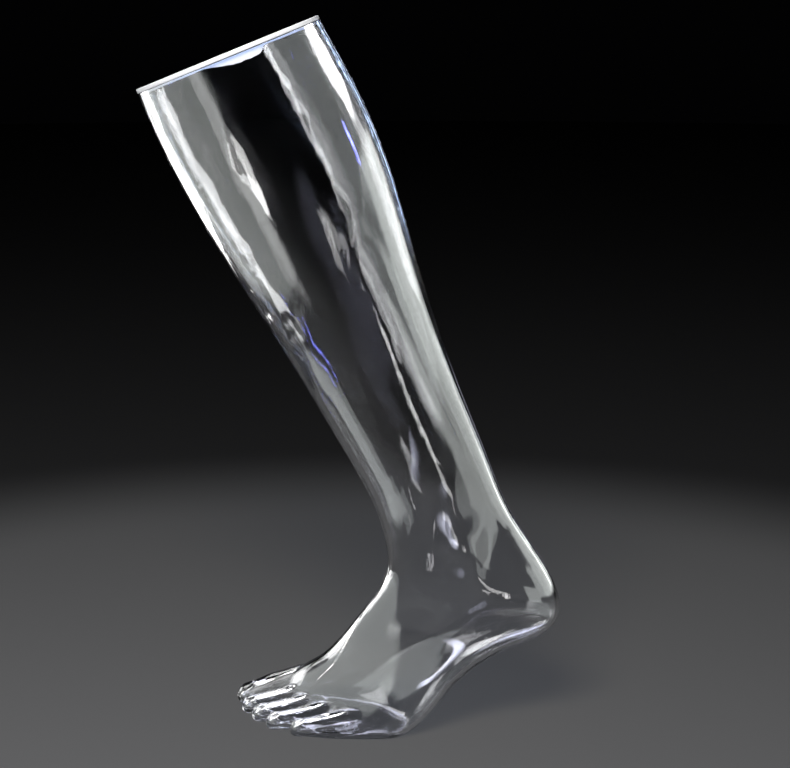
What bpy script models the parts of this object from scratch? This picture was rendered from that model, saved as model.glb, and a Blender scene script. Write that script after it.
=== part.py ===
"""A clear hollow hosiery display leg: lower leg and bare left foot, standing on its forefoot.

Frame: +Z up, toes towards -X, little-toe side towards -Y, origin under the middle of the whole
form, in the plane of the flat standing face under the forefoot. Metres.
"""

import math

import bmesh
import bpy
import numpy as np
from mathutils import Vector

MM = 0.001

# Driving dimensions
WALL = 2.8 * MM
GAP = 0.3 * MM
PLATE_THICKNESS = 3.0 * MM
BEAD_LEG = 2.6 * MM
STANDING_FACE_Z = 0.0
MIDDLE_X = 1.3 * MM

# Mesh fineness
RING_POINTS = 32
RINGS_PER_STATION = 2
TOE_POINTS = 12
TOE_RINGS_PER_STATION = 2
TOE_CAP_RINGS = 4

# Each station of the leg and foot, in millimetres, from the top edge down round the heel to the toes:
# front x, front z, back x, back z, half width, sideways shift, crest shift, egg, sweep.
# Here and in TOES, x is 0 where the leg stands, MIDDLE_X in front of the middle of the whole form.
# The front runs down the shin and the instep; the back runs down the calf, round the heel and
# along the sole. Crest moves the front point towards the big toe, egg widens the back of the
# section, and sweep slants it so that the little-toe side lies further back.
STATIONS = (
    (-138.1, 431.8, -19.5, 479.4, 53.5, 0.0, 0.0, 0.05, 0.00),
    (-119.6, 389.4, 7.0, 430.2, 56.0, 0.0, 0.0, 0.09, 0.00),
    (-95.5, 343.7, 25.8, 383.4, 55.0, 0.0, 0.0, 0.10, 0.00),
    (-66.5, 296.1, 40.4, 333.8, 50.0, 0.0, 0.0, 0.08, 0.00),
    (-37.6, 249.6, 55.3, 285.2, 43.0, 0.0, 0.0, 0.03, 0.00),
    (-12.0, 205.2, 72.2, 237.8, 36.5, 0.0, 0.0, -0.04, 0.00),
    (9.6, 166.3, 90.1, 192.4, 31.5, 0.0, 0.0, -0.12, 0.00),
    (20.6, 138.2, 105.4, 154.9, 30.5, 0.0, 0.0, -0.18, 0.00),
    (24.2, 117.1, 123.7, 125.4, 32.0, 0.0, 0.0, -0.18, 0.00),
    (22.6, 105.8, 138.8, 98.9, 32.5, 0.0, 0.5, -0.10, 0.00),
    (17.6, 93.8, 141.9, 80.9, 31.5, 0.2, 1.0, 0.00, 0.00),
    (10.2, 82.9, 134.5, 67.6, 30.5, 0.5, 2.0, 0.08, 0.03),
    (2.2, 71.3, 112.3, 58.8, 31.0, 1.0, 4.0, 0.16, 0.08),
    (-4.8, 60.3, 87.6, 47.2, 34.0, 2.0, 6.0, 0.19, 0.14),
    (-10.8, 50.8, 66.8, 31.7, 37.5, 3.0, 8.0, 0.20, 0.20),
    (-16.8, 42.6, 48.9, 13.1, 39.0, 3.8, 9.0, 0.20, 0.28),
    (-23.6, 36.1, 26.5, -3.3, 39.5, 4.2, 10.0, 0.20, 0.38),
    (-30.2, 29.2, 5.1, -8.5, 39.5, 4.5, 10.0, 0.18, 0.48),
    (-35.8, 20.8, -15.5, -8.1, 39.5, 4.2, 8.0, 0.14, 0.56),
    (-42.5, 12.8, -34.5, -6.9, 38.5, 3.6, 6.0, 0.10, 0.60),
    (-58.5, 7.2, -56.5, -5.5, 34.0, 3.4, 3.0, 0.05, 0.62),
)

# Each toe in millimetres: for each station x, y, z, half width and half height.
TOES = {
    "big_toe": (
        (-12.0, 28.5, 17.0, 14.0, 15.0),
        (-34.0, 31.5, 14.8, 13.0, 14.3),
        (-52.0, 34.0, 11.4, 12.0, 11.6),
        (-66.0, 35.5, 8.0, 12.4, 9.0),
        (-77.0, 36.0, 5.6, 11.2, 6.8),
    ),
    "second_toe": (
        (-14.0, 13.8, 14.0, 8.6, 13.5),
        (-36.0, 14.5, 11.4, 8.2, 10.6),
        (-56.0, 15.0, 7.6, 8.0, 8.0),
        (-72.5, 15.2, 5.0, 8.0, 6.4),
    ),
    "third_toe": (
        (-6.0, -0.2, 13.0, 8.2, 13.0),
        (-29.0, -0.5, 10.6, 7.8, 10.0),
        (-48.0, -0.7, 7.0, 7.7, 7.7),
        (-64.5, -0.8, 4.8, 7.7, 6.2),
    ),
    "fourth_toe": (
        (3.0, -13.2, 12.0, 8.0, 12.0),
        (-20.0, -14.2, 9.8, 7.6, 9.4),
        (-38.0, -14.8, 6.8, 7.4, 7.4),
        (-54.0, -15.2, 4.6, 7.3, 6.0),
    ),
    "little_toe": (
        (12.0, -24.5, 11.0, 8.0, 10.5),
        (-6.0, -26.5, 8.8, 7.8, 8.6),
        (-22.0, -27.3, 6.4, 7.2, 7.0),
        (-37.0, -27.8, 4.6, 6.7, 5.8),
    ),
}

CUTTER_REACH = 0.7


def clear_scene():
    for obj in list(bpy.data.objects):
        bpy.data.objects.remove(obj)


def spline(rows, steps_per_row):
    """A natural cubic curve through the rows, one column at a time."""
    knots = np.array(rows, float)
    count = len(knots)
    matrix = np.eye(count)
    right = np.zeros_like(knots)
    for row in range(1, count - 1):
        matrix[row, row - 1:row + 2] = (1.0, 4.0, 1.0)
        right[row] = 6.0 * (knots[row - 1] - 2.0 * knots[row] + knots[row + 1])
    bend = np.linalg.solve(matrix, right)
    points = []
    for place in np.linspace(0, count - 1, (count - 1) * steps_per_row + 1):
        row = min(int(place), count - 2)
        t = place - row
        s = 1.0 - t
        points.append(
            s * knots[row] + t * knots[row + 1]
            + ((s**3 - s) * bend[row] + (t**3 - t) * bend[row + 1]) / 6.0
        )
    return np.array(points)


def section(row, angles):
    """The closed outline of the leg or foot at one station."""
    front_x, front_z, back_x, back_z, half_width, shift, crest, egg, sweep = row
    along = np.cos(angles)
    y = shift - crest * along + half_width * np.sin(angles) * (1.0 + egg * along)
    x = (front_x + back_x) / 2 + along * (back_x - front_x) / 2 - sweep * (y - shift)
    z = (front_z + back_z) / 2 + along * (back_z - front_z) / 2
    return np.stack([x, y, z], axis=1) * MM - (MIDDLE_X, 0.0, 0.0)


def leg_grid():
    """Rings of points over the whole leg and foot, without the toes."""
    angles = np.linspace(0, 2 * math.pi, RING_POINTS, endpoint=False)
    return np.array([section(row, angles) for row in spline(STATIONS, RINGS_PER_STATION)])


def toe_grid(rows):
    """Rings of points along one toe, closing in a round tip."""
    angles = np.linspace(0, 2 * math.pi, TOE_POINTS, endpoint=False)
    path = spline(rows, TOE_RINGS_PER_STATION)
    ahead = path[-1, :3] - path[-2, :3]
    ahead /= np.linalg.norm(ahead)
    rings = []
    for x, y, z, half_width, half_height in path:
        rings.append(toe_ring((x, y, z), half_width, half_height, angles))
    for step in range(1, TOE_CAP_RINGS):
        turn = step / TOE_CAP_RINGS * math.pi / 2
        centre = path[-1, :3] + ahead * path[-1, 4] * math.sin(turn)
        size = path[-1, 3:5] * math.cos(turn)
        rings.append(toe_ring(centre, size[0], size[1], angles))
    return np.array(rings)


def toe_ring(centre, half_width, half_height, angles):
    y = centre[1] + half_width * np.sin(angles)
    z = centre[2] + half_height * np.cos(angles)
    x = np.full_like(y, centre[0])
    return np.stack([x, y, z], axis=1) * MM - (MIDDLE_X, 0.0, 0.0)


def grid_normals(grid):
    """Outward normals of a grid of rings."""
    around = np.roll(grid, -1, axis=1) - np.roll(grid, 1, axis=1)
    down = np.gradient(grid, axis=0)
    normals = unit(np.cross(around, down))
    middle = grid.mean(axis=1, keepdims=True)
    outward = ((grid - middle) * normals).sum() > 0
    return normals if outward else -normals


def inset(grid, distance):
    return grid - grid_normals(grid) * distance


def mesh_from_grid(name, grid):
    """A closed mesh of quads between the rings, with a flat cap on each end."""
    mesh = bpy.data.meshes.new(name)
    bm = bmesh.new()
    rings = [[bm.verts.new(point) for point in ring] for ring in grid]
    count = len(rings[0])
    for upper, lower in zip(rings, rings[1:]):
        for index in range(count):
            after = (index + 1) % count
            bm.faces.new((upper[index], upper[after], lower[after], lower[index]))
    bm.faces.new(rings[0])
    bm.faces.new(rings[-1])
    bmesh.ops.triangulate(bm, faces=bm.faces[:])
    bmesh.ops.recalc_face_normals(bm, faces=bm.faces[:])
    bm.to_mesh(mesh)
    bm.free()
    return mesh


def add_object(name, mesh):
    obj = bpy.data.objects.new(name, mesh)
    bpy.context.scene.collection.objects.link(obj)
    return obj


def combine(name, first, others, operation):
    """A new mesh from Boolean operations on the first object, with the helpers removed."""
    for other in others:
        modifier = first.modifiers.new(operation.lower(), "BOOLEAN")
        modifier.object = other
        modifier.operation = operation
        modifier.solver = "EXACT"
    graph = bpy.context.evaluated_depsgraph_get()
    mesh = bpy.data.meshes.new_from_object(first.evaluated_get(graph))
    mesh.name = name
    for helper in (first, *others):
        bpy.data.objects.remove(helper)
    return add_object(name, mesh)


def block(name, low, high):
    """A plain box between two corners, for cutting."""
    mesh = bpy.data.meshes.new(name)
    bm = bmesh.new()
    bmesh.ops.create_cube(bm, size=1.0)
    size = Vector(high) - Vector(low)
    bmesh.ops.scale(bm, vec=size, verts=bm.verts[:])
    bmesh.ops.translate(bm, vec=(Vector(low) + Vector(high)) / 2, verts=bm.verts[:])
    bm.to_mesh(mesh)
    bm.free()
    return add_object(name, mesh)


def floor_block(top_z):
    return block(
        "floor_cutter",
        (-CUTTER_REACH, -CUTTER_REACH, top_z - CUTTER_REACH),
        (CUTTER_REACH, CUTTER_REACH, top_z),
    )


def rim_normal(grid):
    """The direction out of the slanted top edge."""
    ring = grid[0]
    chord = ring[0] - ring[len(ring) // 2]
    return unit(np.cross(chord, (0.0, 1.0, 0.0)))


def outer_solid(grid):
    body = add_object("leg_outside", mesh_from_grid("leg_outside", grid))
    toes = []
    for name, rows in TOES.items():
        toes.append(add_object(name, mesh_from_grid(name, toe_grid(rows))))
    joined = combine("outside", body, toes, "UNION")
    return combine("outside", joined, [floor_block(STANDING_FACE_Z)], "DIFFERENCE")


def inner_solid(grid):
    """The hollow: the outside moved in by the wall, open through the top edge."""
    rings = inset(grid, WALL)
    rings[0] += rim_normal(grid) * 2 * WALL
    hollow = add_object("leg_hollow", mesh_from_grid("leg_hollow", rings[:-1]))
    toes = []
    for name, rows in TOES.items():
        toe = inset(toe_grid(rows), WALL)
        toes.append(add_object(name, mesh_from_grid(name, toe)))
    joined = combine("hollow", hollow, toes, "UNION")
    return combine("hollow", joined, [floor_block(STANDING_FACE_Z + WALL)], "DIFFERENCE")


def half_of(shell_mesh, name, side):
    """One half of the shell: side is +1 for the big-toe side and -1 for the little-toe side."""
    shell = add_object(name + "_whole", shell_mesh.copy())
    edges = sorted((side * GAP / 2, -side * CUTTER_REACH))
    cutter = block(
        "half_cutter",
        (-CUTTER_REACH, edges[0], -CUTTER_REACH),
        (CUTTER_REACH, edges[1], CUTTER_REACH),
    )
    return combine(name, shell, [cutter], "DIFFERENCE")


def end_plate(grid):
    """The plate over the top edge, as wide as the leg there."""
    normal = rim_normal(grid)
    lower = grid[0] + normal * GAP
    upper = lower + normal * PLATE_THICKNESS
    return add_object("end_plate", mesh_from_grid("end_plate", np.array([upper, lower])))


def unit(vectors):
    return vectors / np.linalg.norm(vectors, axis=-1, keepdims=True)


def plate_bond(grid):
    """A three-sided bead in the corner between the plate and the inside of the wall."""
    corner, next_ring = inset(grid, WALL + GAP)[:2]
    along_plate = corner + unit(corner.mean(axis=0) - corner) * BEAD_LEG
    down_wall = corner + unit(next_ring - corner) * BEAD_LEG
    mesh = bpy.data.meshes.new("plate_bond")
    bm = bmesh.new()
    lines = [[bm.verts.new(point) for point in line] for line in (corner, along_plate, down_wall)]
    count = len(corner)
    for first, second in zip(lines, lines[1:] + lines[:1]):
        for index in range(count):
            after = (index + 1) % count
            bm.faces.new((first[index], first[after], second[after], second[index]))
    bmesh.ops.triangulate(bm, faces=bm.faces[:])
    bmesh.ops.recalc_face_normals(bm, faces=bm.faces[:])
    bm.to_mesh(mesh)
    bm.free()
    return add_object("plate_bond", mesh)


def clear_plastic(name, colour, roughness):
    material = bpy.data.materials.new(name)
    material.use_nodes = True
    shader = material.node_tree.nodes["Principled BSDF"]
    shader.inputs["Base Color"].default_value = (*colour, 1.0)
    shader.inputs["Metallic"].default_value = 0.0
    shader.inputs["Roughness"].default_value = roughness
    shader.inputs["Transmission Weight"].default_value = 1.0
    shader.inputs["IOR"].default_value = 1.585
    return material


def main():
    clear_scene()
    grid = leg_grid()
    shell = combine("shell", outer_solid(grid), [inner_solid(grid)], "DIFFERENCE")
    shell_mesh = shell.data.copy()
    bpy.data.objects.remove(shell)
    shell_plastic = clear_plastic("clear_shell_plastic", (0.93, 0.95, 1.0), 0.03)
    plate_plastic = clear_plastic("clear_plate_plastic", (0.95, 0.96, 1.0), 0.02)
    cement = clear_plastic("clear_cement", (0.96, 0.96, 1.0), 0.10)
    finished = {
        shell_plastic: (
            half_of(shell_mesh, "lateral_shell_half", -1),
            half_of(shell_mesh, "medial_shell_half", 1),
        ),
        plate_plastic: (end_plate(grid),),
        cement: (plate_bond(grid),),
    }
    for material, pieces in finished.items():
        for piece in pieces:
            piece.data.materials.clear()
            piece.data.materials.append(material)
            piece.data.shade_smooth()
            piece.data.set_sharp_from_angle(angle=math.radians(35))


main()
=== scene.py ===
"""The looks of a clear hosiery display leg: one hollow clear shell, its end plate and their bond.

The leg stands on its forefoot with its toes towards -X and its little-toe side towards -Y.
"""

import math

import bmesh
import bpy
import numpy as np
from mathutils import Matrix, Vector, noise
from mathutils.bvhtree import BVHTree


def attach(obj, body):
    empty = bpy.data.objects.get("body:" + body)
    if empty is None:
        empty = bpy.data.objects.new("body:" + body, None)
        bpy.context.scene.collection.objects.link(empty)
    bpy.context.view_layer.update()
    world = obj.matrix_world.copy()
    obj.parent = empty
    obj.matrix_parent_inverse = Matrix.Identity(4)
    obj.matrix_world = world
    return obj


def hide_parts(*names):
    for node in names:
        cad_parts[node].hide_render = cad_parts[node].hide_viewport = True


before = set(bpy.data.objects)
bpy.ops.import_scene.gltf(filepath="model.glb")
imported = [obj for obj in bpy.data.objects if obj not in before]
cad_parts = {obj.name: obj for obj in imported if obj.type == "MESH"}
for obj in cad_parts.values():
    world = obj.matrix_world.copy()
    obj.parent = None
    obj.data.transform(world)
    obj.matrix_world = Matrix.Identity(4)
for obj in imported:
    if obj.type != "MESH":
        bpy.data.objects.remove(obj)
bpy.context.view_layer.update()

MM = 0.001

# Sizes of the form, as in the CAD
WALL = 2.8 * MM
PLATE_GAP = 0.3 * MM
PLATE_THICKNESS = 3.0 * MM
LEG_LEAN = math.radians(25)

# Taken off every x, so that the form stands in the middle
MIDDLE_X = 1.3 * MM

# A point far above the slanted rim, and how far the inside runs past the rim before it is cut there
UPWARD = (0.0, 0.0, 9.0)
ABOVE_RIM = 8 * MM

# Fineness of the visible skin: points in a ring, spacing of the rings in millimetres, size of the remeshed
# skin's voxels, and rounds of relaxing them
OUTER_POINTS = 128
OUTER_SPACING = 2.8
OUTER_VOXEL = 0.86 * MM
OUTER_RELAXING = 4
INNER_POINTS = 96
INNER_SPACING = 3.4
INNER_VOXEL = 1.3 * MM
INNER_RELAXING = 6
TOE_POINTS = 48
TOE_RINGS = 60
TOE_CAP_RINGS = 16
SPACING_SAMPLES = 600

# The leg and heel are lofted as far as this station, and the forefoot beyond it is remeshed with its toes.
# The overlap and the strip that joins them are counted in stations too.
FOREFOOT_STATION = 15.0
FOREFOOT_OVERLAP = 1.2
JOINT_STRIP = 0.12

# Each station, from the top edge down round the heel to the toes: front x, front z, back x, back z,
# half width, sideways shift and crest shift in millimetres, egg as a share of the width, sweep as a slope.
STATIONS = (
    (-138.1, 431.8, -19.5, 479.4, 53.5, 0.0, 0.0, 0.05, 0.00),
    (-119.6, 389.4, 7.0, 430.2, 56.0, 0.0, 0.0, 0.09, 0.00),
    (-95.5, 343.7, 25.8, 383.4, 55.0, 0.0, 0.0, 0.10, 0.00),
    (-66.5, 296.1, 40.4, 333.8, 50.0, 0.0, 0.0, 0.08, 0.00),
    (-37.6, 249.6, 55.3, 285.2, 43.0, 0.0, 0.0, 0.03, 0.00),
    (-12.0, 205.2, 72.2, 237.8, 36.5, 0.0, 0.0, -0.04, 0.00),
    (9.6, 166.3, 90.1, 192.4, 31.5, 0.0, 0.0, -0.12, 0.00),
    (20.6, 138.2, 105.4, 154.9, 30.5, 0.0, 0.0, -0.18, 0.00),
    (24.2, 117.1, 123.7, 125.4, 32.0, 0.0, 0.0, -0.18, 0.00),
    (22.6, 105.8, 138.8, 98.9, 32.5, 0.0, 0.5, -0.10, 0.00),
    (17.6, 93.8, 141.9, 80.9, 31.5, 0.2, 1.0, 0.00, 0.00),
    (10.2, 82.9, 134.5, 67.6, 30.5, 0.5, 2.0, 0.08, 0.03),
    (2.2, 71.3, 112.3, 58.8, 31.0, 1.0, 4.0, 0.16, 0.08),
    (-4.8, 60.3, 87.6, 47.2, 34.0, 2.0, 6.0, 0.19, 0.14),
    (-10.8, 50.8, 66.8, 31.7, 37.5, 3.0, 8.0, 0.20, 0.20),
    (-16.8, 42.6, 48.9, 13.1, 39.0, 3.8, 9.0, 0.20, 0.28),
    (-23.6, 36.1, 26.5, -3.3, 39.5, 4.2, 10.0, 0.20, 0.38),
    (-30.2, 29.2, 5.1, -8.5, 39.5, 4.5, 10.0, 0.18, 0.48),
    (-35.8, 20.8, -15.5, -8.1, 39.5, 4.2, 8.0, 0.14, 0.56),
    (-42.5, 12.8, -34.5, -6.9, 38.5, 3.6, 6.0, 0.10, 0.60),
    (-58.5, 7.2, -56.5, -5.5, 34.0, 3.4, 3.0, 0.05, 0.62),
)

# Each toe in millimetres: for each station x, y, z, half width and half height.
TOES = {
    "big_toe": (
        (-12.0, 28.5, 17.0, 14.0, 15.0),
        (-34.0, 31.5, 14.8, 13.0, 14.3),
        (-52.0, 34.0, 11.4, 12.0, 11.6),
        (-66.0, 35.5, 8.0, 12.4, 9.0),
        (-77.0, 36.0, 5.6, 11.2, 6.8),
    ),
    "second_toe": (
        (-14.0, 13.8, 14.0, 8.6, 13.5),
        (-36.0, 14.5, 11.4, 8.2, 10.6),
        (-56.0, 15.0, 7.6, 8.0, 8.0),
        (-72.5, 15.2, 5.0, 8.0, 6.4),
    ),
    "third_toe": (
        (-6.0, -0.2, 13.0, 8.2, 13.0),
        (-29.0, -0.5, 10.6, 7.8, 10.0),
        (-48.0, -0.7, 7.0, 7.7, 7.7),
        (-64.5, -0.8, 4.8, 7.7, 6.2),
    ),
    "fourth_toe": (
        (3.0, -13.2, 12.0, 8.0, 12.0),
        (-20.0, -14.2, 9.8, 7.6, 9.4),
        (-38.0, -14.8, 6.8, 7.4, 7.4),
        (-54.0, -15.2, 4.6, 7.3, 6.0),
    ),
    "little_toe": (
        (12.0, -24.5, 11.0, 8.0, 10.5),
        (-6.0, -26.5, 8.8, 7.8, 8.6),
        (-22.0, -27.3, 6.4, 7.2, 7.0),
        (-37.0, -27.8, 4.6, 6.7, 5.8),
    ),
}


# ---------------------------------------------------------------- form


def spline(rows, places):
    """A natural cubic curve through the rows, one column at a time, read at the given row numbers."""
    knots = np.array(rows, float)
    count = len(knots)
    matrix = np.eye(count)
    right = np.zeros_like(knots)
    for row in range(1, count - 1):
        matrix[row, row - 1:row + 2] = (1.0, 4.0, 1.0)
        right[row] = 6.0 * (knots[row - 1] - 2.0 * knots[row] + knots[row + 1])
    bend = np.linalg.solve(matrix, right)
    row = np.minimum(places.astype(int), count - 2)
    t = (places - row)[:, None]
    s = 1.0 - t
    straight = s * knots[row] + t * knots[row + 1]
    return straight + ((s**3 - s) * bend[row] + (t**3 - t) * bend[row + 1]) / 6.0


def section(row, angles):
    """The closed outline of the leg or foot at one station."""
    front_x, front_z, back_x, back_z, half_width, shift, crest, egg, sweep = row
    along = np.cos(angles)
    y = shift - crest * along + half_width * np.sin(angles) * (1.0 + egg * along)
    x = (front_x + back_x) / 2 + along * (back_x - front_x) / 2 - sweep * (y - shift)
    z = (front_z + back_z) / 2 + along * (back_z - front_z) / 2
    return np.stack([x, y, z], axis=1) * MM - (MIDDLE_X, 0.0, 0.0)


def around(count):
    return np.linspace(0, 2 * math.pi, count, endpoint=False)


def even_places(first, last, spacing):
    """Station numbers from first to last whose sections lie at most about spacing apart."""
    dense = np.linspace(first, last, SPACING_SAMPLES)
    steps = np.diff(spline(STATIONS, dense)[:, :4], axis=0)
    widest = np.maximum(np.hypot(steps[:, 0], steps[:, 1]), np.hypot(steps[:, 2], steps[:, 3]))
    travel = np.concatenate([[0.0], np.cumsum(widest)])
    count = round(travel[-1] / spacing)
    return np.interp(np.linspace(0, travel[-1], count + 1), travel, dense)


def leg_rings(places, angles):
    return np.array([section(row, angles) for row in spline(STATIONS, places)])


def leg_ring(place, points):
    """One ring of the leg at a station number."""
    return leg_rings(np.array([float(place)]), around(points))[0]


def toe_ring(centre, half_width, half_height):
    """One oval section of a toe."""
    angles = around(TOE_POINTS)
    y = centre[1] + half_width * np.sin(angles)
    z = centre[2] + half_height * np.cos(angles)
    x = np.full_like(y, centre[0])
    return np.stack([x, y, z], axis=1) * MM - (MIDDLE_X, 0.0, 0.0)


def toe_grid(rows):
    """Rings of points along one toe, closing in a round tip."""
    path = spline(rows, np.linspace(0, len(rows) - 1, TOE_RINGS))
    ahead = path[-1, :3] - path[-2, :3]
    ahead /= np.linalg.norm(ahead)
    rings = [toe_ring(row[:3], row[3], row[4]) for row in path]
    for step in range(1, TOE_CAP_RINGS):
        turn = step / TOE_CAP_RINGS * math.pi / 2
        centre = path[-1, :3] + ahead * path[-1, 4] * math.sin(turn)
        size = path[-1, 3:5] * math.cos(turn)
        rings.append(toe_ring(centre, size[0], size[1]))
    return np.array(rings)


def rim_normal():
    """The direction square to the slanted top, pointing up."""
    return ring_normal(leg_ring(0, 8), UPWARD)


def unit(vectors):
    return vectors / np.linalg.norm(vectors, axis=-1, keepdims=True)


def ring_normal(ring, towards):
    """The normal of a flat ring, on the side of a point."""
    quarter = len(ring) // 4
    normal = unit(np.cross(ring[0] - ring[2 * quarter], ring[quarter] - ring[3 * quarter]))
    return normal if (towards - ring.mean(axis=0)) @ normal > 0 else -normal


def grid_normals(grid):
    """Outward normals of a grid of rings."""
    turn = np.roll(grid, -1, axis=1) - np.roll(grid, 1, axis=1)
    down = np.gradient(grid, axis=0)
    normals = unit(np.cross(turn, down))
    outward = ((grid - grid.mean(axis=1, keepdims=True)) * normals).sum() > 0
    return normals if outward else -normals


def fade(value, low, high):
    """0 below low, 1 above high, smooth between."""
    t = np.clip((value - low) / (high - low), 0.0, 1.0)
    return t * t * (3.0 - 2.0 * t)


# ---------------------------------------------------------------- mesh helpers


def open_tube(bm, grid):
    """Quads between the rings; gives the edges of the last ring."""
    rings = [[bm.verts.new(point) for point in ring] for ring in grid]
    count = len(rings[0])
    for upper, lower in zip(rings, rings[1:]):
        for index in range(count):
            after = (index + 1) % count
            bm.faces.new((upper[index], upper[after], lower[after], lower[index]))
    return [bm.edges.get((rings[-1][index], rings[-1][index - 1])) for index in range(count)]


def mesh_from_grids(name, grids):
    """One mesh of closed bodies, each of quads between rings with a cap on each end."""
    mesh = bpy.data.meshes.new(name)
    bm = bmesh.new()
    for grid in grids:
        open_tube(bm, grid)
    bmesh.ops.holes_fill(bm, edges=[edge for edge in bm.edges if edge.is_boundary])
    bmesh.ops.recalc_face_normals(bm, faces=bm.faces[:])
    bm.to_mesh(mesh)
    bm.free()
    return mesh


def tree_of(grid):
    """The surface of a grid, for finding nearest points."""
    mesh = mesh_from_grids("nearest", [grid])
    corners = [vertex.co.copy() for vertex in mesh.vertices]
    faces = [tuple(polygon.vertices) for polygon in mesh.polygons]
    bpy.data.meshes.remove(mesh)
    return BVHTree.FromPolygons(corners, faces)


def add_object(name, mesh):
    obj = bpy.data.objects.new(name, mesh)
    bpy.context.scene.collection.objects.link(obj)
    return obj


def smooth_piece(name, mesh, sharp_angle):
    """The mesh as a piece, shaded smooth except over edges sharper than an angle in degrees."""
    mesh.shade_smooth()
    mesh.set_sharp_from_angle(angle=math.radians(sharp_angle))
    return add_object(name, mesh)


def remeshed(mesh, voxel, smooth_rounds):
    """The mesh as one even skin, relaxed a few rounds."""
    obj = add_object("remesh", mesh)
    remesh = obj.modifiers.new("skin", "REMESH")
    remesh.mode = "VOXEL"
    remesh.voxel_size = voxel
    relax = obj.modifiers.new("relax", "SMOOTH")
    relax.factor = 0.5
    relax.iterations = smooth_rounds
    graph = bpy.context.evaluated_depsgraph_get()
    skin = bpy.data.meshes.new_from_object(obj.evaluated_get(graph))
    bpy.data.objects.remove(obj)
    bpy.data.meshes.remove(mesh)
    return skin


def points_of(mesh):
    points = np.empty(len(mesh.vertices) * 3)
    mesh.vertices.foreach_get("co", points)
    return points.reshape(-1, 3)


def normals_of(mesh):
    normals = np.empty(len(mesh.vertices) * 3)
    mesh.vertices.foreach_get("normal", normals)
    return normals.reshape(-1, 3)


def move_points(mesh, points):
    mesh.vertices.foreach_set("co", points.ravel())
    mesh.update()


# ---------------------------------------------------------------- the skin of the shell

# Rounded swellings and hollows of the skin: centre, reach along x, y and z, and height, all in millimetres.
SWELLINGS = (
    ((72.0, -33.0, 137.0), (13.0, 14.0, 20.0), 3.6),
    ((63.0, 33.0, 144.0), (13.0, 14.0, 18.0), 3.2),
    ((97.0, -25.0, 129.0), (9.0, 12.0, 22.0), -2.2),
    ((90.0, 25.0, 135.0), (9.0, 12.0, 22.0), -2.2),
)
# Thick and thin spots of the inner face, in the same way
LENSES = (
    ((-79.0, -48.0, 396.0), (9.0, 22.0, 24.0), 1.3),
    ((2.0, -44.0, 345.0), (6.0, 16.0, 34.0), 0.9),
    ((0.0, 46.0, 345.0), (6.0, 16.0, 30.0), -1.1),
    ((-38.0, 44.0, 415.0), (6.0, 14.0, 26.0), 0.8),
    ((-30.0, -34.0, 262.0), (6.0, 14.0, 34.0), 0.7),
    ((66.0, -28.0, 170.0), (8.0, 14.0, 18.0), 1.5),
    ((52.0, 26.0, 165.0), (9.0, 14.0, 22.0), 1.4),
    ((92.0, -24.0, 120.0), (7.0, 14.0, 18.0), -1.2),
    ((80.0, 24.0, 112.0), (9.0, 14.0, 12.0), 1.5),
    ((44.0, -24.0, 108.0), (12.0, 14.0, 12.0), 0.6),
    ((20.0, 28.0, 80.0), (10.0, 14.0, 12.0), 1.4),
)

# Nails and knuckles: lengths, widths and setback as shares of the toe's half width or half height at its tip,
# the nail's edge and groove in nail sizes, the knuckle's place as a share of the way back, and the rest in
# millimetres
NAIL_LENGTH = 0.62
NAIL_WIDTH = 0.64
NAIL_SETBACK = 0.25
NAIL_EDGE = (0.86, 1.04)
NAIL_RISE = 0.35
NAIL_GROOVE = 0.30
GROOVE_PLACE = 1.13
GROOVE_REACH = 0.75
KNUCKLE_PLACE = 0.4
KNUCKLE_RISE = 0.7
KNUCKLE_REACH = 6.0
KNUCKLE_WIDTH = 0.7

# How far up a face looks, where the nails and knuckles begin and where they are full
FACING_UP = (0.2, 0.6)

# The parting line: heights in millimetres, and the heights over the floor between which it grows to full size
SEAM_RISE = 0.22
SEAM_SPECK = 0.35
SEAM_LOW = 0.25
SEAM_GROWS = (18.0, 34.0)
SEAM_HALF_WIDTH = 0.5 * MM

# How near the middle plane a point is on the parting line, and how far over the floor the line ends
SEAM_REACH = 0.02 * MM
SEAM_ENDS = 1.0 * MM

# The noise of the parting line: cells to the millimetre, and the values at which specks begin and are full
SEAM_CELLS = 0.11
SPECK_CELLS = 0.13
SPECK_SHOWS = (0.42, 0.5)

# The wall's extra thickness in millimetres, the stations between which each fades, and how squarely to the
# front the shin's begins and is full
SHIN_EXTRA = 1.4
SHIN_SIDES = (0.2, 1.0)
SHIN_ENDS = (5.0, 10.0)
RIM_EXTRA = 0.6
RIM_ENDS = (0.0, 0.9)

# Waves of the inner face: height in millimetres, and the noise's cells to the metre and offset on each axis
SLOW_WAVES = (0.55, (26, 30, 9), (3.1, 7.7, 1.3))
FLOW_LINES = (0.07, (110, 110, 12), (9.4, 2.2, 5.8))

# The stations between which the waves begin, under an even rim
WAVES_BEGIN = (0.15, 0.6)

# Rounding of the flat sole's edge, and how far a remeshed point may lie from the true surface to be put on it
SOLE_ROUNDING = 1.2 * MM
INNER_SOLE_ROUNDING = 1.0 * MM
SNAP_REACH = (0.25 * MM, 0.8 * MM)

# The flat sole below this has no relief
OVER_SOLE = 0.5 * MM


def swollen(points, normals, swellings):
    """Points moved out or in by the round swellings near them."""
    shape = points.shape
    points = points.reshape(-1, 3)
    normals = normals.reshape(-1, 3)
    for centre, reach, height in swellings:
        away = (points - np.array(centre) * MM) / (np.array(reach) * MM)
        strength = np.exp(-(away**2).sum(axis=1))
        points = points + normals * (strength * height * MM)[:, None]
    return points.reshape(shape)


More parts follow.
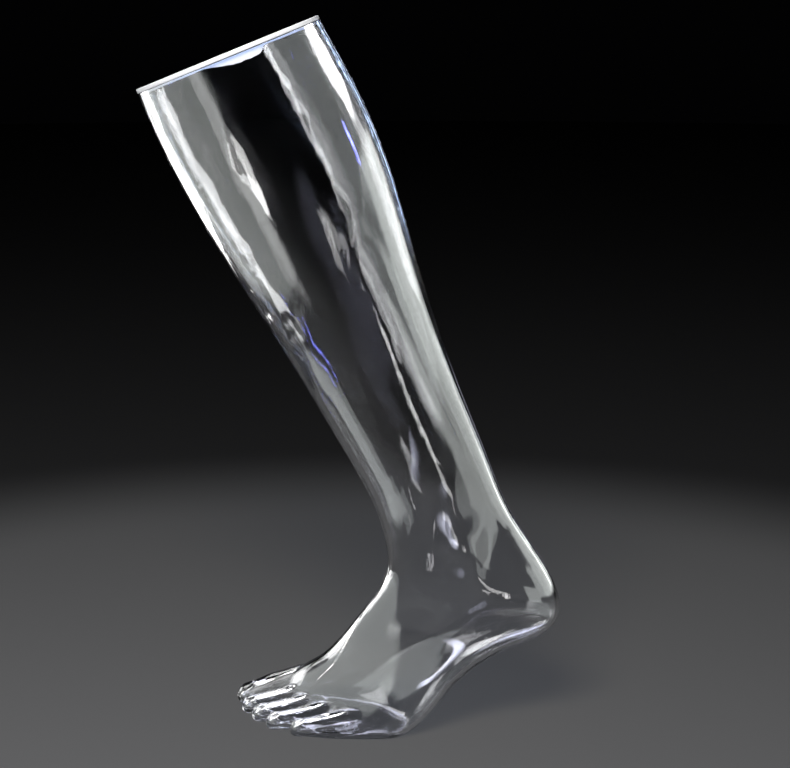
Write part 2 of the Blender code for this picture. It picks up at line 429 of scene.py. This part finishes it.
def flat_soled(points, lowest, softness):
    """Everything below a height pressed up onto it, flat but for a small rounding at the edge."""
    # The last twelfth is cut off, so that the sole is flat and not only nearly so
    moved = points.copy()
    z = points[:, 2] - lowest
    moved[:, 2] = lowest + np.maximum((z + np.sqrt(z * z + softness * softness)) / 2 - softness / 12, 0.0)
    return moved


def snapped(points, trees):
    """Points put on the nearest of the surfaces, except in the fillets where they meet."""
    moved = points.copy()
    for index, point in enumerate(points):
        hits = [tree.find_nearest(Vector(point)) for tree in trees]
        place, _, _, distance = min(hits, key=lambda hit: hit[3])
        weight = 1.0 - fade(distance, *SNAP_REACH)
        moved[index] += weight * (np.array(place) - point)
    return moved


def nail_height(x, y, tip):
    """A nail near the tip of a toe, with the groove round it."""
    tip_x, tip_y, _, half_width, half_height = tip
    wide = NAIL_WIDTH * half_width
    ahead = np.abs((x - tip_x + NAIL_SETBACK * half_height) / (NAIL_LENGTH * half_width))
    beside = np.abs((y - tip_y) / wide)
    nail = (ahead**3 + beside**3)**(1 / 3)
    groove = np.exp(-((nail - GROOVE_PLACE) * wide / GROOVE_REACH)**2)
    return NAIL_RISE * (1 - fade(nail, *NAIL_EDGE)) - NAIL_GROOVE * groove


def knuckle_height(x, y, rows):
    """A low swelling between the second and third rows from the tip of a toe."""
    half_width = rows[-1][3]
    place = np.array(rows[-2]) * (1.0 - KNUCKLE_PLACE) + np.array(rows[-3]) * KNUCKLE_PLACE
    away = ((x - place[0]) / KNUCKLE_REACH)**2 + ((y - place[1]) / (KNUCKLE_WIDTH * half_width))**2
    return KNUCKLE_RISE * np.exp(-away)


def toe_relief(points, normals):
    """Height in millimetres of the nails and knuckles over the skin, on what faces up."""
    x = (points[:, 0] + MIDDLE_X) / MM
    y = points[:, 1] / MM
    height = sum(nail_height(x, y, rows[-1]) + knuckle_height(x, y, rows) for rows in TOES.values())
    return height * fade(normals[:, 2], *FACING_UP)


def forefoot_skin():
    """The outside of the forefoot and toes as one mesh, with its sole flat."""
    places = even_places(FOREFOOT_STATION - FOREFOOT_OVERLAP, len(STATIONS) - 1, OUTER_SPACING)
    grids = [leg_rings(places, around(OUTER_POINTS))] + [toe_grid(rows) for rows in TOES.values()]
    mesh = remeshed(mesh_from_grids("forefoot", grids), OUTER_VOXEL, OUTER_RELAXING)
    points = snapped(points_of(mesh), [tree_of(grid) for grid in grids])
    move_points(mesh, flat_soled(points, 0.0, SOLE_ROUNDING))
    return mesh


def leg_lean(points):
    """Points turned so that z runs up the leg."""
    x = points[:, 0] * math.cos(LEG_LEAN) + points[:, 2] * math.sin(LEG_LEAN)
    z = points[:, 2] * math.cos(LEG_LEAN) - points[:, 0] * math.sin(LEG_LEAN)
    return np.stack([x, points[:, 1], z], axis=1)


def wave(point, height, cells, offset):
    return height * noise.noise(Vector(point * cells + offset))


def wall_waves(points):
    """Waves of the inner face in millimetres: long slow ones and flow lines down the leg."""
    return np.array([wave(point, *SLOW_WAVES) + wave(point, *FLOW_LINES) for point in leg_lean(points)])


def thick_wall(places, angles):
    """Thickness of the leg's wall in millimetres, fuller down the shin and at the top edge."""
    front = fade(-np.cos(angles), *SHIN_SIDES)[None, :]
    shin = front * (1.0 - fade(places, *SHIN_ENDS))[:, None]
    rim = (1.0 - fade(places, *RIM_ENDS))[:, None]
    return WALL / MM + SHIN_EXTRA * shin + RIM_EXTRA * rim


def outer_skin(forefoot):
    """The whole outside as an open bmesh: the lofted leg, the forefoot and the seam ridge."""
    places = even_places(0, FOREFOOT_STATION, OUTER_SPACING)
    grid = leg_rings(places, around(OUTER_POINTS))
    grid = swollen(grid, grid_normals(grid), SWELLINGS)
    bm = bmesh.new()
    last_ring = open_tube(bm, grid)
    join_forefoot(bm, last_ring, forefoot)
    raise_seam(bm)
    return bm


def join_forefoot(bm, last_ring, forefoot):
    """Adds the part of the forefoot beyond the last ring and bridges the strip between them."""
    ring = leg_ring(FOREFOOT_STATION + JOINT_STRIP, OUTER_POINTS)
    heel = leg_ring(FOREFOOT_STATION - 1.0, OUTER_POINTS).mean(axis=0)
    piece = bmesh.new()
    piece.from_mesh(forefoot)
    bmesh.ops.bisect_plane(
        piece,
        geom=piece.verts[:] + piece.edges[:] + piece.faces[:],
        dist=1e-7,
        plane_co=ring.mean(axis=0),
        plane_no=ring_normal(ring, heel),
        clear_outer=True,
    )
    part = bpy.data.meshes.new("forefoot_part")
    piece.to_mesh(part)
    piece.free()
    before = set(bm.edges)
    bm.from_mesh(part)
    bpy.data.meshes.remove(part)
    cut = [edge for edge in bm.edges if edge.is_boundary and edge not in before]
    bmesh.ops.bridge_loops(bm, edges=last_ring + cut)


def seam_height(place):
    """Height of the parting line in millimetres: uneven, with specks, and lower near the floor."""
    uneven = 1.0 + 0.5 * noise.noise(Vector((place.x * SEAM_CELLS, 4.0, place.z * SEAM_CELLS)))
    speck = fade(noise.noise(Vector((place.x * SPECK_CELLS, 9.0, place.z * SPECK_CELLS))), *SPECK_SHOWS)
    size = SEAM_LOW + (1.0 - SEAM_LOW) * float(fade(place.z, *SEAM_GROWS))
    return (SEAM_RISE * uneven + SEAM_SPECK * speck) * size


def raise_seam(bm):
    """A fine parting line down the shin and instep and up the sole, heel and calf."""
    for side in (-1, 0, 1):
        bmesh.ops.bisect_plane(
            bm,
            geom=bm.verts[:] + bm.edges[:] + bm.faces[:],
            dist=0.01 * MM,
            plane_co=(0.0, side * SEAM_HALF_WIDTH, 0.0),
            plane_no=(0.0, 1.0, 0.0),
        )
    bm.normal_update()
    for vert in bm.verts:
        if abs(vert.co.y) < SEAM_REACH and vert.co.z > SEAM_ENDS:
            vert.co += vert.normal * seam_height(vert.co / MM) * MM


def inner_leg(places, angles):
    """Rings of the inside of the leg and heel, with its uneven wall."""
    grid = leg_rings(places, angles)
    grid = swollen(grid, grid_normals(grid), SWELLINGS + LENSES)
    waves = wall_waves(grid.reshape(-1, 3)).reshape(grid.shape[:2])
    waves *= fade(places, *WAVES_BEGIN)[:, None]
    depth = thick_wall(places, angles) + waves
    return grid - grid_normals(grid) * depth[..., None] * MM


def inner_forefoot(forefoot):
    """The inside of the forefoot and toes as one mesh."""
    mesh = forefoot.copy()
    move_points(mesh, points_of(mesh) - normals_of(mesh) * WALL)
    mesh = remeshed(mesh, INNER_VOXEL, INNER_RELAXING)
    points = points_of(mesh)
    points = points - normals_of(mesh) * (wall_waves(points) * MM)[:, None]
    move_points(mesh, flat_soled(points, WALL, INNER_SOLE_ROUNDING))
    return mesh


def inner_skin(forefoot):
    """The whole inside as an open bmesh, reaching a little above the top edge."""
    places = even_places(0, FOREFOOT_STATION, INNER_SPACING)
    grid = inner_leg(places, around(INNER_POINTS))
    above = grid[:1] + rim_normal() * ABOVE_RIM
    bm = bmesh.new()
    last_ring = open_tube(bm, np.concatenate([above, grid]))
    join_forefoot(bm, last_ring, inner_forefoot(forefoot))
    return bm


def cut_at_rim(bm, rim):
    bmesh.ops.bisect_plane(
        bm,
        geom=bm.verts[:] + bm.edges[:] + bm.faces[:],
        dist=1e-7,
        plane_co=rim.mean(axis=0),
        plane_no=ring_normal(rim, UPWARD),
        clear_outer=True,
    )


def shell():
    """The outer and the inner skin joined by the rim at the top."""
    forefoot = forefoot_skin()
    inner = inner_skin(forefoot)
    cut_at_rim(inner, leg_ring(0, OUTER_POINTS))
    bm = outer_skin(forefoot)
    inside = bpy.data.meshes.new("inside")
    inner.to_mesh(inside)
    inner.free()
    bm.from_mesh(inside)
    bmesh.ops.triangle_fill(
        bm,
        edges=[edge for edge in bm.edges if edge.is_boundary],
        use_beauty=True,
        normal=rim_normal(),
    )
    bmesh.ops.recalc_face_normals(bm, faces=bm.faces[:])
    mesh = bpy.data.meshes.new("clear_shell")
    bm.to_mesh(mesh)
    bm.free()
    for helper in (forefoot, inside):
        bpy.data.meshes.remove(helper)
    points = points_of(mesh)
    relief = toe_relief(points, normals_of(mesh)) * (points[:, 2] > OVER_SOLE)
    move_points(mesh, points + normals_of(mesh) * (relief * MM)[:, None])
    return smooth_piece("clear_shell", mesh, 60)


# ---------------------------------------------------------------- end plate and bond

PLATE_POINTS = 240
PLATE_EDGE = 0.6 * MM
PLATE_EDGE_STEPS = 6

# The cement: a bead all round, and a smear between two places counted from -1 at the shin to 1 at the calf
BEAD_DROP = 1.2 * MM
BEAD_UNEVEN = 0.5 * MM
BEAD_WIDTH = 1.6 * MM
BEAD_FRONT = 0.12 * MM
BEAD_BACK = 0.05 * MM
SMEAR_DROP = 4.5 * MM
SMEAR_STARTS = (-0.28, 0.26)
SMEAR_ENDS = (0.36, 0.46)
SMEAR_UNEVEN = (0.9, 0.7)
WIDTH_UNEVEN = 0.4
BOND_POINTS = 360
BOND_LINES = 12

# The cement's noise: cells to the metre, and height
CEMENT_NOISE = ((70, 1.0), (260, 0.25))

# Where the wall under the plate is sampled, so that the cement lies on it
BOND_STATIONS = np.linspace(0.0, 0.4, 60)


def plate_profile():
    """The plate's side wall from top to bottom: height over its underside, and inset from the rim."""
    profile = []
    for turn in np.linspace(0, math.pi / 2, PLATE_EDGE_STEPS):
        height = PLATE_THICKNESS - PLATE_EDGE * (1 - math.cos(turn))
        profile.append((height, PLATE_EDGE * (1 - math.sin(turn))))
    for turn in np.linspace(math.pi / 2, math.pi, PLATE_EDGE_STEPS):
        height = PLATE_EDGE * (1 + math.cos(turn))
        profile.append((height, PLATE_EDGE * (1 - math.sin(turn))))
    return profile


def end_plate(rim):
    """The flat plate over the cut top, with rounded edges. Its ground side wall has the second material."""
    normal = ring_normal(rim, UPWARD)
    outward = unit(rim - rim.mean(axis=0))
    rings = [rim - outward * inset + normal * (PLATE_GAP + height) for height, inset in plate_profile()]
    mesh = mesh_from_grids("top_plate", [np.array(rings)])
    for polygon in mesh.polygons:
        polygon.material_index = int(len(polygon.vertices) == 4)
    return smooth_piece("top_plate", mesh, 40)


def smear_share(angles):
    """How much of the smear hangs at each angle, on the little-toe side."""
    along = np.cos(angles)
    return fade(along, *SMEAR_STARTS) * (1.0 - fade(along, *SMEAR_ENDS)) * (np.sin(angles) < 0)


def on_wall(wall_line, depths, depth):
    """The point of one line down the wall that lies at a depth under the rim."""
    return np.array([np.interp(depth, depths, wall_line[:, axis]) for axis in range(3)])


def bond_section(wall_line, depths, inward, drop, width):
    """One closed section of the cement: its hollow front from the plate down, and its back up the wall."""
    points = []
    for turn in np.linspace(0, 1, BOND_LINES) * math.pi / 2:
        front = BEAD_FRONT + width * (1.0 - math.sin(turn))
        points.append(on_wall(wall_line, depths, drop * (1.0 - math.cos(turn))) + inward * front)
    for depth in np.linspace(drop, 0.0, BOND_LINES)[1:]:
        points.append(on_wall(wall_line, depths, depth) + inward * BEAD_BACK)
    return points


def mesh_of_hoop(name, sections):
    """One mesh of quads between closed sections that run once round and meet."""
    mesh = bpy.data.meshes.new(name)
    bm = bmesh.new()
    rows = [[bm.verts.new(point) for point in points] for points in sections]
    for here, there in zip(rows, rows[1:] + rows[:1]):
        for side in range(len(here)):
            after = (side + 1) % len(here)
            bm.faces.new((here[side], here[after], there[after], there[side]))
    bmesh.ops.recalc_face_normals(bm, faces=bm.faces[:])
    bm.to_mesh(mesh)
    bm.free()
    return mesh


def unevenness(place):
    """A slow and a quick noise, about -1 to 1, for the cement."""
    return sum(height * noise.noise(Vector(place * cells)) for cells, height in CEMENT_NOISE)


def bond():
    """The cement under the plate: a thin bead all round and a smear that ran down the little-toe side."""
    angles = around(BOND_POINTS)
    normal = rim_normal()
    wall = inner_leg(BOND_STATIONS, angles)
    middle = wall[0].mean(axis=0)
    smear = smear_share(angles) * SMEAR_DROP
    sections = []
    for index, top in enumerate(wall[0]):
        depths = (top - wall[:, index]) @ normal
        rough = unevenness(top)
        smear_depth = smear[index] * (SMEAR_UNEVEN[0] + SMEAR_UNEVEN[1] * rough)
        drop = BEAD_DROP + BEAD_UNEVEN * rough + smear_depth
        width = BEAD_WIDTH * (1.0 + WIDTH_UNEVEN * rough)
        sections.append(bond_section(wall[:, index], depths, unit(middle - top), drop, width))
    return smooth_piece("bond_bead", mesh_of_hoop("bond_bead", sections), 50)


# ---------------------------------------------------------------- materials

PLASTIC_BENDS = 1.585
PLASTIC_TINT = (0.985, 0.988, 1.0, 1.0)
PLASTIC_DEPTH_TINT = (0.80, 0.87, 1.0, 1.0)
PLASTIC_ABSORBS = 2.0
SHADOW_TINT = (0.90, 0.91, 0.93, 1.0)

FLOW_SCALE = 90.0
FLOW_STRETCH = 0.12
FLOW_STRENGTH = 0.25
FLOW_HEIGHT = 0.6 * MM
HAZE_SCALE = 14.0
HAZE_SHOWS = (0.35, 0.75)
HAZE_ROUGHNESS = 0.09

# The floor's colours: a painted pool of light, grey painted near the leg and painted dark shade further off,
# and the distances in metres between which the painted light fades
PAINTED_POOL_GREY = (0.13, 0.13, 0.133, 1.0)
PAINTED_FALLOFF_DARK = (0.03, 0.03, 0.031, 1.0)
PAINTED_FALLOFF_RADII = (0.50, 0.80)
FLOOR_ROUGHNESS = 0.7


def math_node(nodes, links, operation, *values):
    """A Math node on sockets or numbers; gives its output socket."""
    node = nodes.new("ShaderNodeMath")
    node.operation = operation
    for index, value in enumerate(values):
        if isinstance(value, float):
            node.inputs[index].default_value = value
        else:
            links.new(value, node.inputs[index])
    return node.outputs["Value"]


def noise_node(nodes, links, place, scale, detail):
    """A Noise Texture node at a place; gives its value."""
    node = nodes.new("ShaderNodeTexNoise")
    node.inputs["Scale"].default_value = scale
    node.inputs["Detail"].default_value = detail
    links.new(place, node.inputs["Vector"])
    return node.outputs["Fac"]


def clear_material(name, roughness, transmission, absorbs):
    """Clear plastic, polished or rough. It lets light through to the floor and may absorb a little."""
    material = bpy.data.materials.new(name)
    material.use_nodes = True
    nodes = material.node_tree.nodes
    links = material.node_tree.links
    shader = nodes["Principled BSDF"]
    shader.inputs["Base Color"].default_value = PLASTIC_TINT
    shader.inputs["Roughness"].default_value = roughness
    shader.inputs["IOR"].default_value = PLASTIC_BENDS
    shader.inputs["Transmission Weight"].default_value = transmission
    shadow = nodes.new("ShaderNodeLightPath")
    through = nodes.new("ShaderNodeBsdfTransparent")
    through.inputs["Color"].default_value = SHADOW_TINT
    mix = nodes.new("ShaderNodeMixShader")
    links.new(shadow.outputs["Is Shadow Ray"], mix.inputs["Fac"])
    links.new(shader.outputs["BSDF"], mix.inputs[1])
    links.new(through.outputs["BSDF"], mix.inputs[2])
    links.new(mix.outputs["Shader"], nodes["Material Output"].inputs["Surface"])
    if absorbs:
        volume = nodes.new("ShaderNodeVolumeAbsorption")
        volume.inputs["Color"].default_value = PLASTIC_DEPTH_TINT
        volume.inputs["Density"].default_value = absorbs
        links.new(volume.outputs["Volume"], nodes["Material Output"].inputs["Volume"])
    return material


def add_flow_ripples(material):
    """Shallow ripples drawn out along the leg."""
    nodes = material.node_tree.nodes
    links = material.node_tree.links
    place = nodes.new("ShaderNodeTexCoord")
    lean = nodes.new("ShaderNodeMapping")
    lean.inputs["Rotation"].default_value = (0.0, LEG_LEAN, 0.0)
    lean.inputs["Scale"].default_value = (1.0, 1.0, FLOW_STRETCH)
    links.new(place.outputs["Object"], lean.inputs["Vector"])
    bump = nodes.new("ShaderNodeBump")
    bump.inputs["Strength"].default_value = FLOW_STRENGTH
    bump.inputs["Distance"].default_value = FLOW_HEIGHT
    links.new(noise_node(nodes, links, lean.outputs["Vector"], FLOW_SCALE, 3.0), bump.inputs["Height"])
    links.new(bump.outputs["Normal"], nodes["Principled BSDF"].inputs["Normal"])


def add_haze(material):
    """Slightly uneven polish."""
    nodes = material.node_tree.nodes
    links = material.node_tree.links
    place = nodes.new("ShaderNodeTexCoord")
    polish = nodes.new("ShaderNodeMapRange")
    polish.inputs["From Min"].default_value = HAZE_SHOWS[0]
    polish.inputs["From Max"].default_value = HAZE_SHOWS[1]
    polish.inputs["To Min"].default_value = 0.0
    polish.inputs["To Max"].default_value = HAZE_ROUGHNESS
    links.new(noise_node(nodes, links, place.outputs["Object"], HAZE_SCALE, 5.0), polish.inputs["Value"])
    links.new(polish.outputs["Result"], nodes["Principled BSDF"].inputs["Roughness"])


def floor_material():
    """Matt grey with a painted pool of light round the leg: painted lighter near it and darker away from it.
    """
    material = bpy.data.materials.new("floor_painted_light_pool")
    material.use_nodes = True
    nodes = material.node_tree.nodes
    links = material.node_tree.links
    shader = nodes["Principled BSDF"]
    shader.inputs["Roughness"].default_value = FLOOR_ROUGHNESS
    shader.inputs["Specular IOR Level"].default_value = 0.0
    place = nodes.new("ShaderNodeNewGeometry")
    length = nodes.new("ShaderNodeVectorMath")
    length.operation = "LENGTH"
    # Painted pool of light: the colour is painted grey near the leg and fades to painted dark shade further
    # off
    ramp = nodes.new("ShaderNodeValToRGB")
    ramp.color_ramp.interpolation = "EASE"
    near, far = ramp.color_ramp.elements
    near.position, far.position = PAINTED_FALLOFF_RADII
    near.color = PAINTED_POOL_GREY
    far.color = PAINTED_FALLOFF_DARK
    links.new(place.outputs["Position"], length.inputs[0])
    links.new(length.outputs["Value"], ramp.inputs["Fac"])
    links.new(ramp.outputs["Color"], shader.inputs["Base Color"])
    return material


# ---------------------------------------------------------------- studio

CAMERA_PLACE = (0.0277, -1.25, 0.501)
CAMERA_DOWN = math.radians(11.84)
CAMERA_LENS = 86.6
FILM_WIDTH = 36.0

FLOOR_RADIUS = 6.0
DARKNESS = (0.0006, 0.0006, 0.0007, 1.0)

# A light narrower than this is oval. The soft edge is a share of the light's size.
SMALL_LIGHT = 0.07
SOFT_EDGE = 0.10

# A light whose middle is higher than this looks down at the middle of the leg, and a lower one looks level
HIGH_LIGHT = 0.9
LEG_MIDDLE = 0.25

NEUTRAL = (1.0, 1.0, 1.0)
DAYLIGHT = (0.95, 1.0, 0.97)
VIOLET = (0.80, 0.82, 1.0)
BLUE = (0.55, 0.70, 1.0)
DEEP_BLUE = (0.22, 0.25, 1.0)

# Each softbox: name, azimuth in degrees, distance, bottom, top and width in metres, radiance, colour
SOFTBOXES = (
    ("right_low", 110, 1.10, 0.06, 0.74, 1.06, 2.6, DAYLIGHT),
    ("right_calf", 80, 1.10, 0.08, 0.44, 0.32, 2.0, DAYLIGHT),
    ("right_foot", 64, 1.10, -0.02, 0.26, 0.36, 1.9, DAYLIGHT),
    ("right_high", 121, 1.20, 0.84, 1.62, 0.66, 12.0, NEUTRAL),
    ("left_low", -80, 0.40, -0.02, 0.45, 0.77, 1.40, DAYLIGHT),
    ("left_ridge", -44, 0.46, 0.02, 0.40, 0.11, 2.6, NEUTRAL),
    ("left_core", -37, 0.49, 0.15, 0.31, 0.06, 10.0, NEUTRAL),
    ("left_top", -100, 0.90, 1.00, 1.40, 0.95, 3.0, NEUTRAL),
    ("left_back_high", -150, 1.20, 0.70, 1.20, 0.50, 6.0, NEUTRAL),
    ("back_low", -171, 1.20, 0.50, 0.78, 0.55, 3.5, VIOLET),
    ("left_behind", -131, 0.75, -0.02, 0.28, 0.40, 4.0, NEUTRAL),
    ("right_behind", 155, 0.95, 0.30, 0.80, 0.05, 4.0, BLUE),
    ("heel_edge", 152, 0.60, 0.00, 0.22, 0.12, 0.4, VIOLET),
    ("front_low", 12, 0.80, 0.08, 0.24, 0.10, 4.0, NEUTRAL),
    ("front_right_low", 35, 0.80, 0.00, 0.12, 0.05, 5.0, NEUTRAL),
    ("foot_front", 0, 0.80, 0.00, 0.15, 0.60, 13.0, VIOLET),
    ("blue_lamp", 86, 1.00, 0.64, 0.84, 0.06, 34.0, DEEP_BLUE),
    ("back_far", 180, 2.20, 1.20, 1.90, 1.60, 5.0, VIOLET),
)

# Softboxes kept to one spot: where it is, and the opening of their shade in degrees
SHADED = {
    "left_ridge": ((-0.03, -0.045, 0.34), 66),
    "left_core": ((-0.08, -0.05, 0.396), 50),
    "foot_front": ((-0.02, 0.0, 0.02), 30),
}

# The light on the floor and on all that is matt. The softboxes show only as reflections.
FILL = ("fill", -15, 1.10, 1.10, 1.50, 0.80, 38.0, NEUTRAL)


def camera():
    data = bpy.data.cameras.new("camera")
    data.sensor_width = FILM_WIDTH
    data.lens = CAMERA_LENS
    obj = add_object("camera", data)
    obj.location = CAMERA_PLACE
    obj.rotation_euler = (math.pi / 2 - CAMERA_DOWN, 0.0, 0.0)
    bpy.context.scene.camera = obj
    bpy.context.scene.view_settings.view_transform = "Standard"


def floor_disc(radius):
    mesh = bpy.data.meshes.new("studio_floor")
    bm = bmesh.new()
    bmesh.ops.create_circle(bm, cap_ends=True, radius=radius, segments=128)
    bm.to_mesh(mesh)
    bm.free()
    floor = add_object("studio_floor", mesh)
    floor.data.materials.append(floor_material())


def soften_edges(light):
    """Fades the light towards its edges, as a diffuser does."""
    light.use_nodes = True
    nodes = light.node_tree.nodes
    links = light.node_tree.links
    place = nodes.new("ShaderNodeNewGeometry")
    axes = nodes.new("ShaderNodeSeparateXYZ")
    links.new(place.outputs["Parametric"], axes.inputs["Vector"])
    strengths = []
    for coordinate in (axes.outputs["X"], axes.outputs["Y"]):
        far = math_node(nodes, links, "SUBTRACT", 1.0, coordinate)
        near = math_node(nodes, links, "MINIMUM", coordinate, far)
        ramp = nodes.new("ShaderNodeMapRange")
        ramp.interpolation_type = "SMOOTHSTEP"
        ramp.inputs["From Max"].default_value = SOFT_EDGE
        links.new(near, ramp.inputs["Value"])
        strengths.append(ramp.outputs["Result"])
    strength = math_node(nodes, links, "MULTIPLY", *strengths)
    links.new(strength, nodes["Emission"].inputs["Strength"])


def only_reflected(light):
    """Keeps the light out of the straight view through the clear walls; it shows as a reflection."""
    nodes = light.node_tree.nodes
    links = light.node_tree.links
    strength = nodes["Emission"].inputs["Strength"]
    path = nodes.new("ShaderNodeLightPath")
    reflected = math_node(nodes, links, "MINIMUM", path.outputs["Glossy Depth"], 1.0)
    links.new(math_node(nodes, links, "MULTIPLY", strength.links[0].from_socket, reflected), strength)


def softbox(name, azimuth, distance, bottom, top, width, radiance, colour):
    """A soft upright light round the leg; azimuth 0 is towards the camera and 90 towards +X."""
    light = bpy.data.lights.new(name, "AREA")
    light.shape = "ELLIPSE" if width < SMALL_LIGHT else "RECTANGLE"
    light.size = width
    light.size_y = top - bottom
    light.energy = radiance * math.pi * light.size * light.size_y
    light.color = colour
    soften_edges(light)
    obj = add_object(name, light)
    turn = math.radians(azimuth)
    height = (bottom + top) / 2
    place = Vector((distance * math.sin(turn), -distance * math.cos(turn), height))
    aim = Vector((0.0, 0.0, height if height < HIGH_LIGHT else LEG_MIDDLE))
    obj.location = place
    obj.rotation_euler = (aim - place).to_track_quat("-Z", "Y").to_euler()
    obj.visible_camera = False
    return obj


def shade(light, spot, opening):
    """Turns a light on one spot and shades the rest from it, with its brightness towards the spot kept."""
    half = math.radians(opening) / 2
    light.rotation_euler = (Vector(spot) - light.location).to_track_quat("-Z", "Y").to_euler()
    light.data.spread = 2 * half
    light.data.energy *= (math.tan(half) - half) / math.tan(half)


def lights():
    """The softboxes, which the plastic reflects, and the fill, which lights all that is matt."""
    for settings in SOFTBOXES:
        light = softbox(*settings)
        light.visible_diffuse = False
        only_reflected(light.data)
        if light.name in SHADED:
            shade(light, *SHADED[light.name])
    fill = softbox(*FILL)
    fill.visible_glossy = False
    fill.visible_transmission = False


def dark_room():
    world = bpy.data.worlds.new("studio_dark")
    bpy.context.scene.world = world
    world.use_nodes = True
    world.node_tree.nodes["Background"].inputs["Color"].default_value = DARKNESS


def light_through_plastic():
    """Enough bounces for light to pass the walls, the plate and the toes one after another."""
    cycles = bpy.context.scene.cycles
    cycles.max_bounces = 20
    cycles.transmission_bounces = 16
    cycles.transparent_max_bounces = 16
    cycles.glossy_bounces = 8
    cycles.caustics_refractive = False


# ---------------------------------------------------------------- put together

camera()
floor_disc(FLOOR_RADIUS)
lights()
dark_room()
light_through_plastic()

shell_material = clear_material("clear_shell", roughness=0.0, transmission=1.0, absorbs=PLASTIC_ABSORBS)
add_flow_ripples(shell_material)
add_haze(shell_material)
plate_material = clear_material("clear_plate", roughness=0.0, transmission=1.0, absorbs=PLASTIC_ABSORBS)
edge_material = clear_material("frosted_edge", roughness=0.5, transmission=0.25, absorbs=0.0)
cement_material = clear_material("clear_cement", roughness=0.5, transmission=0.1, absorbs=0.0)
pieces = (
    (shell(), ("lateral_shell_half", "medial_shell_half"), "clear_shell", [shell_material]),
    (end_plate(leg_ring(0, PLATE_POINTS)), ("end_plate",), "clear_plate", [plate_material, edge_material]),
    (bond(), ("plate_bond",), "clear_cement", [cement_material]),
)
for piece, nodes_replaced, slot, materials in pieces:
    for material in materials:
        piece.data.materials.append(material)
    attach(piece, "root")
    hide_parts(*nodes_replaced)
